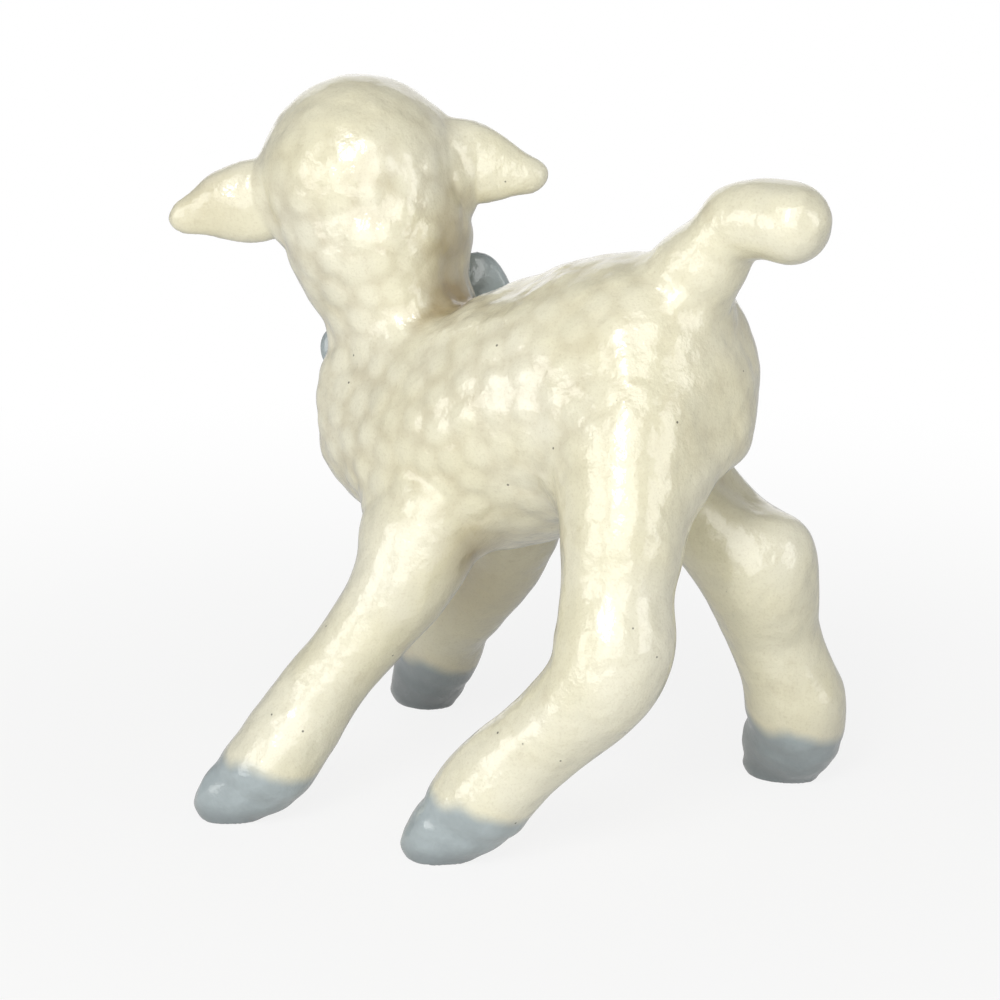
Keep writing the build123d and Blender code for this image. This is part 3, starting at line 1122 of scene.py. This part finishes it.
def glaze(name):
    """The glaze of that name, made once."""
    known = bpy.data.materials.get(name)
    if known:
        return known
    colours = bpy.context.scene.lamb_glaze
    material = bpy.data.materials.new(name)
    tree = Tree(material)
    place = tree.place()
    clouds = tree.noise(place, 26 * MM, detail=3.0)
    mottle = tree.noise(place, 5 * MM, detail=3.0, roughness=0.6)
    grain = tree.noise(place, 0.9 * MM, detail=2.0)
    marks = {name: tree.attribute(name) for name in MARKS}
    # Painted highlight: ridges and bulges take the paler colour, along with clouds where the glaze
    # thins
    wash = tree.ramp(clouds, 0.35, 0.68)
    thin_and_lit_share = (wash * 0.45 + marks["ridge"] * 0.5).clamped()
    cream = tree.mix(thin_and_lit_share, tuple(colours.cream), tuple(colours.thin_and_lit))
    broken = tree.ramp(mottle, 0.3, 0.65)
    # Painted shade: hollows, creases and the listed shaded spots take the darker glaze colour,
    # along with the glaze collecting between the pebbles
    gathered_and_shaded = marks["valley"] * (broken + 0.7) * 0.2 + marks["pool"] * 0.75
    depth = (gathered_and_shaded + mottle * 0.08).clamped()
    pooled_and_shaded = tree.mix(depth, cream, tuple(colours.pooled_and_shaded))
    dust = tree.noise(place, 0.42 * MM, detail=1.0)
    stain = tree.ramp(tree.noise(place, 9 * MM, detail=4.0, roughness=0.6), 0.56, 0.74)
    fleck = tree.ramp(grain, 0.56, 0.74) * 0.09 + tree.ramp(dust, 0.5, 0.72) * 0.1 + stain * 0.16
    speckled = tree.mix(fleck, pooled_and_shaded, tuple(colours.pooled_and_shaded))
    blushed = tree.mix(marks["blush"] * 0.45, speckled, tuple(colours.rose))
    nosed = tree.mix(marks["nose"] * 0.8, blushed, tuple(colours.rose))
    # Painted highlight: the grey-blue lightens on ridges, besides its mottled streaks
    streaks_and_lit_ridges = tree.mix(tree.ramp(mottle, 0.35, 0.7) * 0.25 + marks["ridge"] * 0.3,
                       tuple(colours.blue), tuple(value * 1.6 for value in colours.blue))
    # Painted shade: the grey-blue darkens in hollows and on the far hooves, where shade falls
    shaded = tree.mix(marks["pool"] * 0.95, streaks_and_lit_ridges, tuple(value * 0.28 for value in colours.blue))
    edge = marks["paint"] + (mottle - 0.5) * 0.25
    covered = tree.ramp(edge, 0.18, 0.78)
    blued = tree.mix(covered, nosed, shaded)
    lined = tree.mix(marks["line"] * 0.75, blued, tuple(value * 0.3 for value in colours.blue))
    eyed = tree.mix(tree.ramp(marks["eye"], 0.35, 0.65), lined, (0.012, 0.011, 0.012))
    cells = tree.node("ShaderNodeTexVoronoi", {}, {"Vector": place, "Scale": 1 / (3 * MM)})
    near = Wire(tree, cells.outputs[0])
    draw = tree.add("ShaderNodeSeparateColor", {}, {"Color": Wire(tree, cells.outputs[1])})
    speck = (1.0 - tree.ramp(near, 0.05, 0.1)) * tree.ramp(draw, 0.945, 0.95)
    pitted = tree.mix(speck * 0.8, eyed, (0.05, 0.04, 0.03))
    # Painted shade: the vent is coloured near black, for the dark inside of the hollow casting
    colour = tree.mix(marks["vent"] * 0.9, pitted, (0.12, 0.09, 0.06))
    swell = tree.noise(place, 5.0 * MM, detail=1.0)
    ripple = tree.noise(place, 2.2 * MM, detail=3.0, roughness=0.6)
    skin = tree.noise(place, 0.7 * MM, detail=1.0)
    height = swell * 0.8 + ripple * 0.3 + skin * 0.02
    bump = tree.add(
        "ShaderNodeBump", {}, {"Strength": 1.0, "Distance": 0.65 * MM, "Height": height})
    rough = grain * 0.06 + (colours.gloss - 0.03)
    shader = tree.add("ShaderNodeBsdfPrincipled", {}, {
        "Base Color": colour, "Roughness": rough, "Normal": bump, "IOR": 1.75,
        "Coat Weight": 0.4, "Coat IOR": 1.5, "Coat Roughness": 0.3,
    })
    tree.node("ShaderNodeOutputMaterial", {}, {"Surface": shader})
    return material


# Stage


# The rays that see the white surroundings, and how much of them the glossy ones see
RAYS = ("Is Camera Ray", "Is Transmission Ray", "Is Glossy Ray")
GLOSSY_FLOOR = 0.4
GLOSSY_ROOM = 0.25
WHITE = (1.0, 1.0, 1.0)
FLOOR_GREY = (0.7, 0.7, 0.69)
ROOM_GREY = (0.09, 0.09, 0.09)

# The lamps: metres towards the camera, right and up; size, watts and colour
LAMPS = (
    ("Window", (0.8, -0.12, 0.1), (0.8, 1.0), 5.1, (0.99, 0.99, 0.965)),
    ("Lamp", (0.85, -0.22, 0.28), (0.16, 0.42), 2.4, (0.985, 1.0, 0.985)),
    ("Sky", (0.1, -0.3, 0.85), (0.9, 0.9), 0.3, (0.97, 0.985, 1.0)),
    ("Left", (0.5, -0.8, -0.1), (0.5, 0.7), 2.5, (1.0, 0.99, 0.96)),
    ("Right", (0.6, 0.8, 0.05), (0.4, 0.7), 1.8, (1.0, 0.99, 0.96)),
    ("Front", (-0.75, 0.0, 0.5), (0.9, 0.7), 1.8, (1.0, 0.99, 0.97)),
    ("Far", (-0.45, 0.75, 0.25), (0.9, 0.9), 0.7, (1.0, 0.99, 0.97)),
)


def light(name, place, aim, size, power, colour):
    """A soft box that shines from a place to an aim."""
    lamp = bpy.data.lights.new(name, "AREA")
    lamp.shape = "RECTANGLE"
    lamp.size, lamp.size_y = size
    lamp.energy = power
    lamp.color = colour
    holder = bpy.data.objects.new(name, lamp)
    bpy.context.scene.collection.objects.link(holder)
    holder.location = place
    holder.rotation_euler = (Vector(aim) - Vector(place)).to_track_quat("-Z", "Y").to_euler()


class LAMB_OT_stage(bpy.types.Operator):
    """Set the pale floor, the soft studio light and the camera"""

    bl_idname = "lamb.stage"
    bl_label = "Set the Stage"

    def execute(self, context):
        stage = context.scene.lamb_stage
        context.scene.view_settings.view_transform = "Standard"
        self.floor()
        self.world()
        aim = Vector(stage.aim)
        back = Vector((
            math.sin(stage.azimuth) * math.cos(stage.elevation),
            -math.cos(stage.azimuth) * math.cos(stage.elevation),
            math.sin(stage.elevation),
        ))
        right = Vector((math.cos(stage.azimuth), math.sin(stage.azimuth), 0))
        up = back.cross(right)
        for name, (near, side, high), size, power, colour in LAMPS:
            place = aim + back * near + right * side + up * high
            light(name, place, aim, size, power, colour)
        camera = bpy.data.cameras.new("Camera")
        camera.sensor_width = 36.0
        camera.angle = stage.field
        holder = bpy.data.objects.new("Camera", camera)
        context.scene.collection.objects.link(holder)
        holder.location = aim + back * stage.distance
        holder.rotation_euler = back.to_track_quat("Z", "Y").to_euler()
        context.scene.camera = holder
        return {"FINISHED"}

    def floor(self):
        """A wide pale floor that the camera sees near white, with the lamb's soft shadow."""
        shape = bmesh.new()
        bmesh.ops.create_grid(shape, x_segments=1, y_segments=1, size=6.0)
        mesh = bpy.data.meshes.new("Floor")
        shape.to_mesh(mesh)
        shape.free()
        floor = new_object("Floor", mesh)
        material = bpy.data.materials.new("Pale floor")
        tree = Tree(material)
        rays = tree.node("ShaderNodeLightPath", {}, {})
        camera, through, glossy = (Wire(tree, rays.outputs[name]) for name in RAYS)
        matt = tree.add("ShaderNodeBsdfDiffuse", {}, {"Color": FLOOR_GREY})
        glow = tree.add("ShaderNodeEmission", {}, {"Color": WHITE, "Strength": 1.0})
        length = {"operation": "LENGTH"}
        apart = tree.add("ShaderNodeVectorMath", length, (tree.place(),), output=1)
        white = tree.ramp(apart, 0.05, 0.35) * 0.15 + 0.85
        seen = (camera + through + glossy * GLOSSY_FLOOR) * white
        mixed = tree.add("ShaderNodeMixShader", {}, {0: seen, 1: matt, 2: glow})
        tree.node("ShaderNodeOutputMaterial", {}, {"Surface": mixed})
        floor.data.materials.append(material)

    def world(self):
        """White to the camera, paler to glossy rays, and plain dim light for the rest."""
        world = bpy.data.worlds.new("Studio")
        bpy.context.scene.world = world
        tree = Tree(world)
        rays = tree.node("ShaderNodeLightPath", {}, {})
        camera, through, glossy = (Wire(tree, rays.outputs[name]) for name in RAYS)
        seen = tree.mix(camera + through + glossy * GLOSSY_ROOM, ROOM_GREY, WHITE)
        glow = tree.add("ShaderNodeBackground", {}, {"Color": seen, "Strength": 1.0})
        tree.node("ShaderNodeOutputWorld", {}, {"Surface": glow})


class LAMB_PT_panel(bpy.types.Panel):
    """The lamb's sizes, colours and steps"""

    bl_idname = "LAMB_PT_panel"
    bl_label = "Glazed Lamb"
    bl_space_type = "VIEW_3D"
    bl_region_type = "UI"
    bl_category = "Lamb"

    def draw(self, context):
        for group in (context.scene.lamb_form, context.scene.lamb_glaze, context.scene.lamb_stage):
            box = self.layout.box()
            for name in group.__annotations__:
                box.prop(group, name)
        for step in STEPS:
            self.layout.operator(step.bl_idname)


STEPS = (
    LAMB_OT_clay, LAMB_OT_ears, LAMB_OT_face, LAMB_OT_wool, LAMB_OT_hooves, LAMB_OT_vent,
    LAMB_OT_pieces, LAMB_OT_bow, LAMB_OT_stage,
)
GROUPS = (LambForm, LambGlaze, LambStage)


def register():
    for kind in GROUPS + STEPS + (LAMB_PT_panel,):
        bpy.utils.register_class(kind)
    bpy.types.Scene.lamb_form = PointerProperty(type=LambForm)
    bpy.types.Scene.lamb_glaze = PointerProperty(type=LambGlaze)
    bpy.types.Scene.lamb_stage = PointerProperty(type=LambStage)


def unregister():
    del bpy.types.Scene.lamb_stage
    del bpy.types.Scene.lamb_glaze
    del bpy.types.Scene.lamb_form
    for kind in reversed(GROUPS + STEPS + (LAMB_PT_panel,)):
        bpy.utils.unregister_class(kind)


def main():
    """Runs every step."""
    register()
    for step in STEPS:
        group, name = step.bl_idname.split(".")
        getattr(getattr(bpy.ops, group), name)()


if __name__ == "__main__":
    main()
